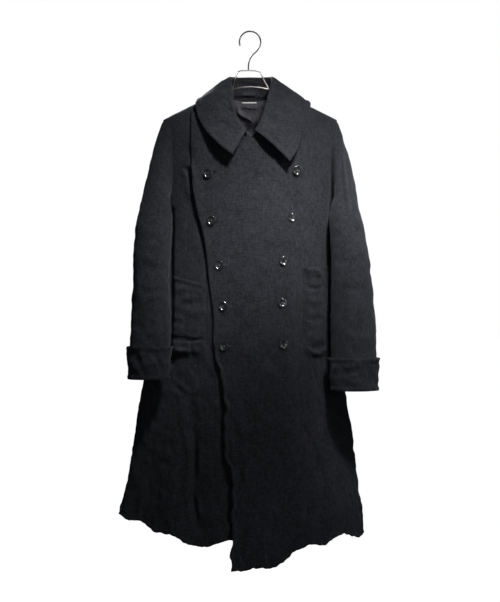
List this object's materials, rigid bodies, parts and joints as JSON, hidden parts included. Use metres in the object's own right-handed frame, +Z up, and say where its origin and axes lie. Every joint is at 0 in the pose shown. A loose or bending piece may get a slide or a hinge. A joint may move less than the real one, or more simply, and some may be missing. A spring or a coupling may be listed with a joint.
{
  "type": "double-breasted coat on a wire hanger",
  "caption": "Long double-breasted wool coat with a wide turned-down collar, patch pockets and turned-back cuffs, hanging buttoned on a thin wire hanger.",
  "frame": {"origin": "inside the top of the hanger's hook, where a rail would carry it", "axes": "+X across the coat toward the wearer's left, +Y behind the coat, +Z up; the front faces -Y"},
  "size_m": [0.6302, 0.1682, 1.2961],
  "materials": {
    "wool": "charcoal black felted wool with a brushed nap",
    "collar_wool": "charcoal black felted wool, two layers",
    "satin": "dark grey satin lining",
    "label": "blank woven label with a pale upper edge",
    "horn": "polished black horn look",
    "steel": "bright plated wire with a warm tint"
  },
  "bodies": {
    "root": {"front_right": "wool", "front_left": "wool", "back": "wool", "sleeve_right": "wool", "sleeve_left": "wool", "cuff_right": "wool", "cuff_left": "wool", "pocket_right": "wool", "pocket_left": "wool", "collar": "collar_wool", "neck_lining": "satin", "neck_label": "label", "hanging_loop": "wool", "button_1_outer": "horn", "button_1_inner": "horn", "button_2_outer": "horn", "button_2_inner": "horn", "button_3_outer": "horn", "button_3_inner": "horn", "button_4_outer": "horn", "button_4_inner": "horn", "button_5_outer": "horn", "button_5_inner": "horn", "hanger_hook": "steel", "hanger_frame": "steel", "hanger_arms": "steel"}
  },
  "joints": []
}
